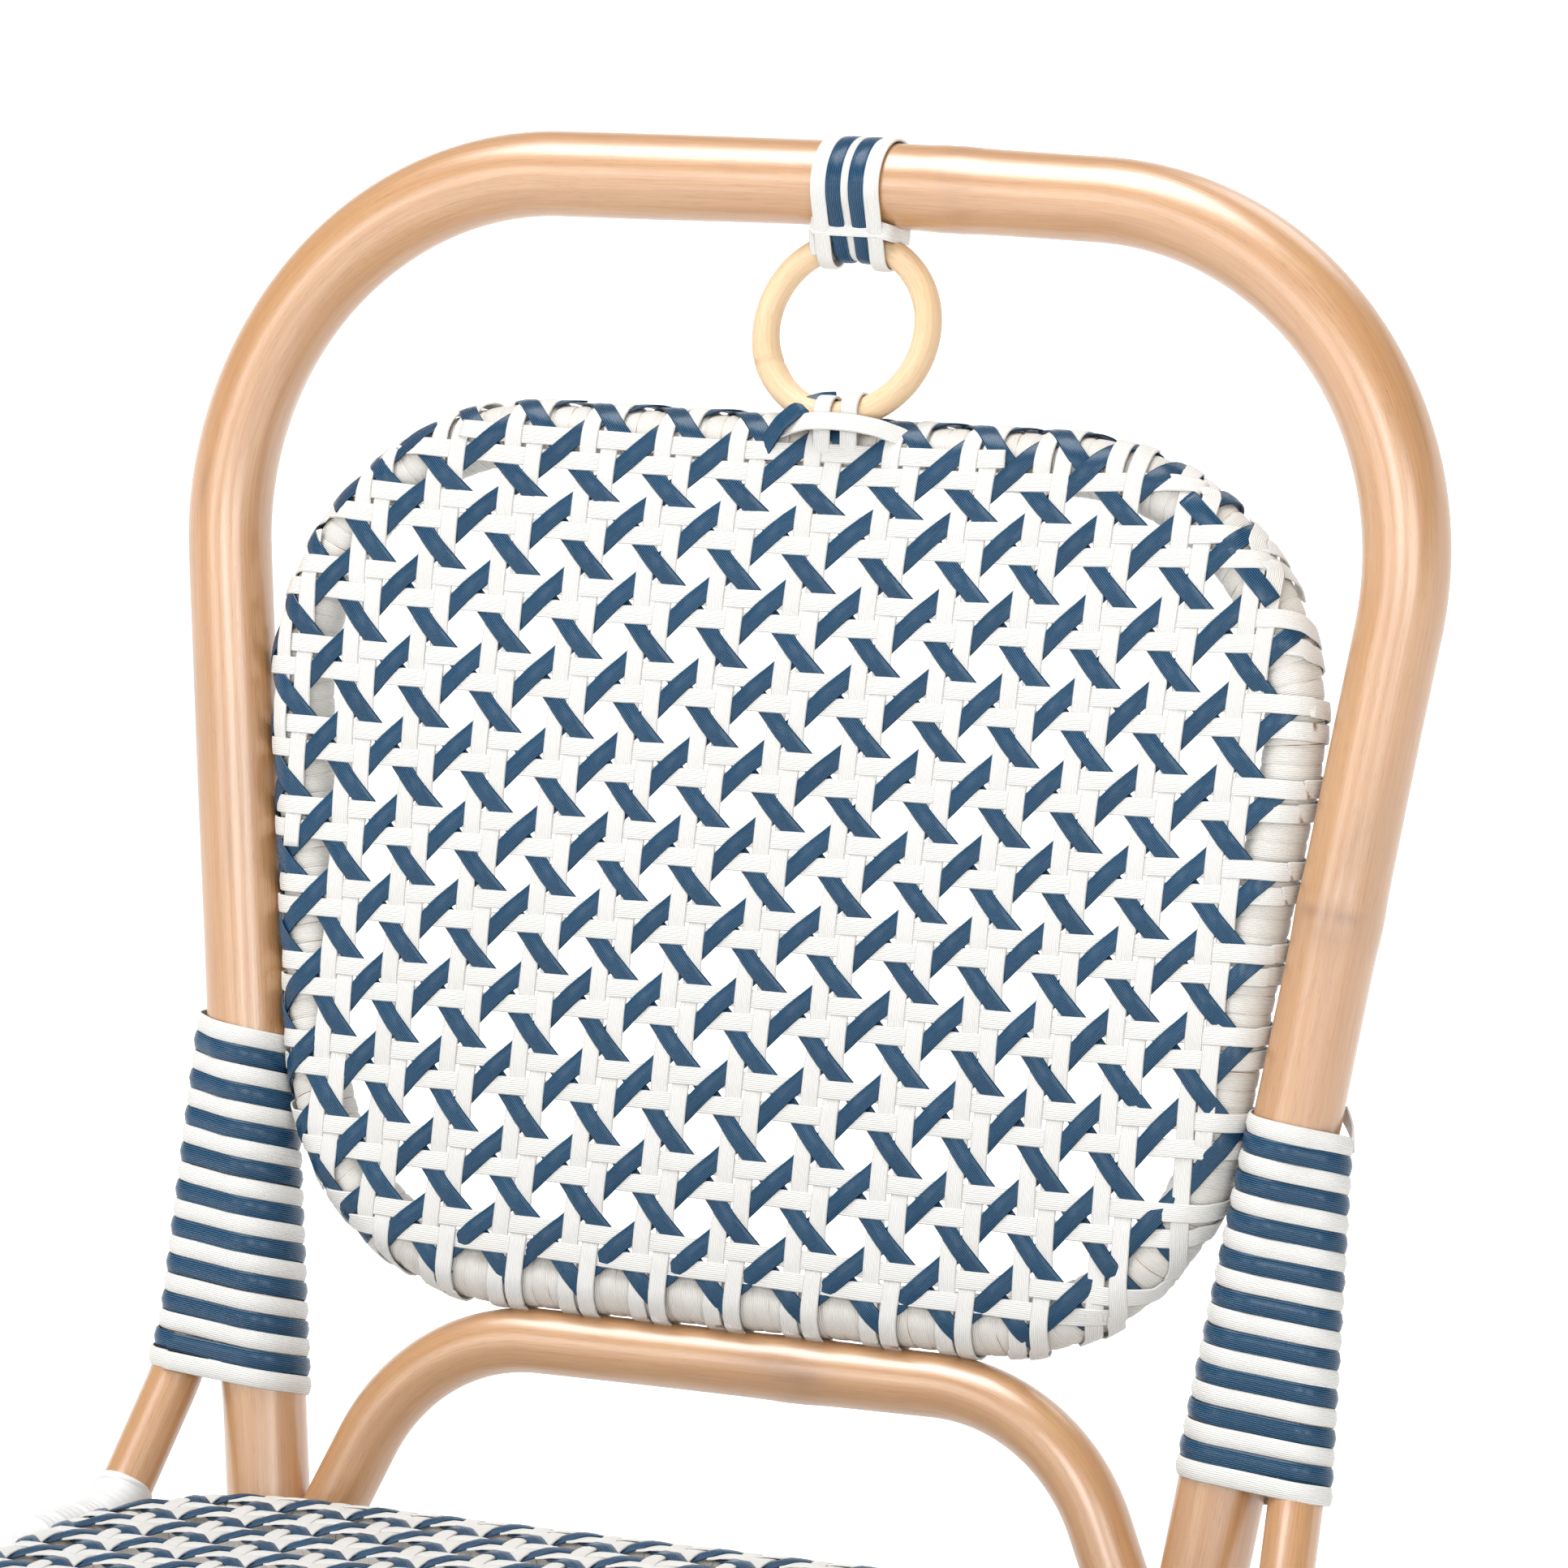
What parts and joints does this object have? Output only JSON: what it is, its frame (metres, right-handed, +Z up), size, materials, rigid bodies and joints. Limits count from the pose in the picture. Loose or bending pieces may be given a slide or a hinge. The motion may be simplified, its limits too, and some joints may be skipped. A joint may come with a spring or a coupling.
{
  "type": "rattan bistro chair",
  "caption": "Armless bistro chair of bent lacquered rattan poles, with a white and blue caned back and seat, striped post bindings and a small ring at the top of the back.",
  "frame": {"origin": "on the floor, under the middle of the chair's outer box", "axes": "+Z up, the chair faces -Y, and +X is on the right of a viewer who stands in front of it"},
  "size_m": [0.432, 0.542, 0.8772],
  "materials": {
    "lacquered_rattan": "glossy clear lacquer over honey-tan cane pole",
    "pale_rattan": "bare, dull",
    "white_strand": "satin, finely ribbed along the strand",
    "blue_strand": "satin, finely ribbed along the strand",
    "glide_nylon": "matt"
  },
  "bodies": {
    "root": {"back_hoop": "lacquered_rattan", "inner_arch": "lacquered_rattan", "front_leg_hoop": "lacquered_rattan", "front_arch_brace": "lacquered_rattan", "rear_arch_brace": "lacquered_rattan", "left_arch_brace": "lacquered_rattan", "right_arch_brace": "lacquered_rattan", "left_stretcher": "lacquered_rattan", "right_stretcher": "lacquered_rattan", "cross_stretcher": "lacquered_rattan", "left_side_brace": "lacquered_rattan", "right_side_brace": "lacquered_rattan", "hanging_ring": "pale_rattan", "back_panel_frame": "white_strand", "back_panel_weave": "white_strand", "seat_frame": "white_strand", "seat_weave": "white_strand", "left_brace_end_wrap": "white_strand", "right_brace_end_wrap": "white_strand", "left_binding_white": "white_strand", "right_binding_white": "white_strand", "rear_left_leg_binding": "white_strand", "rear_right_leg_binding": "white_strand", "front_left_leg_binding": "white_strand", "front_right_leg_binding": "white_strand", "ring_strap_white_left": "white_strand", "ring_strap_white_middle": "white_strand", "ring_strap_white_right": "white_strand", "ring_strap_cinch": "white_strand", "ring_lower_tie_left": "white_strand", "ring_lower_tie_right": "white_strand", "left_binding_blue": "blue_strand", "right_binding_blue": "blue_strand", "ring_strap_blue_left": "blue_strand", "ring_strap_blue_right": "blue_strand", "rear_left_glide": "glide_nylon", "rear_right_glide": "glide_nylon", "front_left_glide": "glide_nylon", "front_right_glide": "glide_nylon"}
  },
  "joints": []
}
